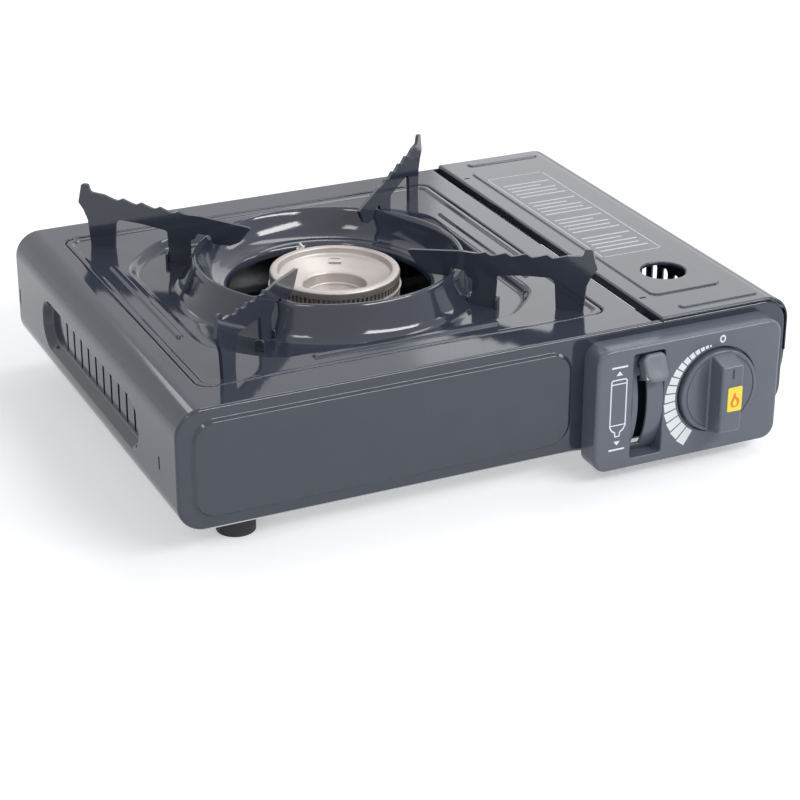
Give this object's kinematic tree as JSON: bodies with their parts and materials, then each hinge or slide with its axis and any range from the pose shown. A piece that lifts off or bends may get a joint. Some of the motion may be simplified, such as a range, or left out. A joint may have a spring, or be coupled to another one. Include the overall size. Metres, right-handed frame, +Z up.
{
  "type": "butane cassette stove",
  "caption": "Flat tabletop gas stove: pressed body, lift-out drip tray with toothed pan supports, ring burner, hinged cartridge lid, gas knob and cartridge lever.",
  "frame": {"origin": "on the ground, under the middle of the whole outline", "axes": "+X towards the cartridge side, -Y out of the control panel, +Z up"},
  "size_m": [0.342, 0.2892, 0.1136],
  "materials": {
    "enamel_black": "gloss enamel",
    "panel_plastic": "satin",
    "rubber_black": "matte",
    "cast_aluminium": "fine cast",
    "zinc_steel": "galvanised",
    "brass": "turned",
    "ceramic_white": "fired",
    "cam_plastic": "moulded",
    "lead_red": "silicone",
    "label_yellow": "printed"
  },
  "bodies": {
    "stove_body": {"body_shell": "enamel_black", "base_pan": "zinc_steel", "rubber_feet": "rubber_black", "base_screws": "zinc_steel", "partition": "zinc_steel", "control_panel": "panel_plastic", "panel_screws": "zinc_steel", "burner_cap": "cast_aluminium", "burner_bowl": "cast_aluminium", "mixing_tube": "zinc_steel", "burner_bracket": "zinc_steel", "burner_screws": "zinc_steel", "gas_jet": "brass", "gas_pipe": "brass", "electrode": "ceramic_white", "electrode_bracket": "zinc_steel", "ignition_lead": "lead_red", "lid_hinge_pins": "zinc_steel", "regulator_body": "cast_aluminium", "regulator_cover": "zinc_steel", "regulator_screws": "zinc_steel", "regulator_bracket": "zinc_steel", "cartridge_socket": "zinc_steel", "socket_seal": "rubber_black", "piezo_igniter": "cam_plastic", "lever_pin": "zinc_steel", "lever_bracket": "zinc_steel", "carriage_guides": "zinc_steel", "carriage_spring": "zinc_steel", "cartridge_cradle": "zinc_steel"},
    "tray": {"drip_tray": "enamel_black", "pan_support_rear_right": "enamel_black", "pan_support_rear_left": "enamel_black", "pan_support_front_left": "enamel_black", "pan_support_front_right": "enamel_black"},
    "lid": {"cartridge_lid": "enamel_black"},
    "knob": {"gas_knob": "panel_plastic", "knob_label": "label_yellow", "valve_spindle": "brass", "igniter_cam": "cam_plastic"},
    "plunger": {"igniter_plunger": "cam_plastic"},
    "lever": {"lever_arm": "zinc_steel", "lever_pad": "panel_plastic"},
    "carriage": {"carriage": "zinc_steel"}
  },
  "joints": [
    {"name": "lid_hinge", "type": "hinge", "parent": "stove_body", "child": "lid", "pos_m": [0.1655, 0, 0.027], "axis": [0, 1, 0], "range_deg": [0, 95]},
    {"name": "knob_turn", "type": "hinge", "parent": "stove_body", "child": "knob", "pos_m": [0.1197, -0.12985, 0.0427], "axis": [0, -1, 0], "range_deg": [0, 150]},
    {"name": "plunger_push", "type": "slide", "parent": "stove_body", "child": "plunger", "axis": [1, 0, 0], "range_m": [0, 0.004]},
    {"name": "lever_swing", "type": "hinge", "parent": "stove_body", "child": "lever", "pos_m": [0.0753, -0.08985, 0.042], "axis": [1, 0, 0], "range_deg": [0, 51]},
    {"name": "carriage_slide", "type": "slide", "parent": "stove_body", "child": "carriage", "axis": [0, -1, 0], "range_m": [0, 0.01], "deforming": ["carriage_spring"]},
    {"name": "tray_lift", "type": "slide", "parent": "stove_body", "child": "tray", "axis": [0, 0, 1], "range_m": [0, 0.06]}
  ],
  "couplings": [
    {"joint": "plunger_push", "follows": "knob_turn", "m_per_rad": 0.0015279},
    {"joint": "carriage_slide", "follows": "lever_swing", "m_per_rad": 0.011234}
  ]
}
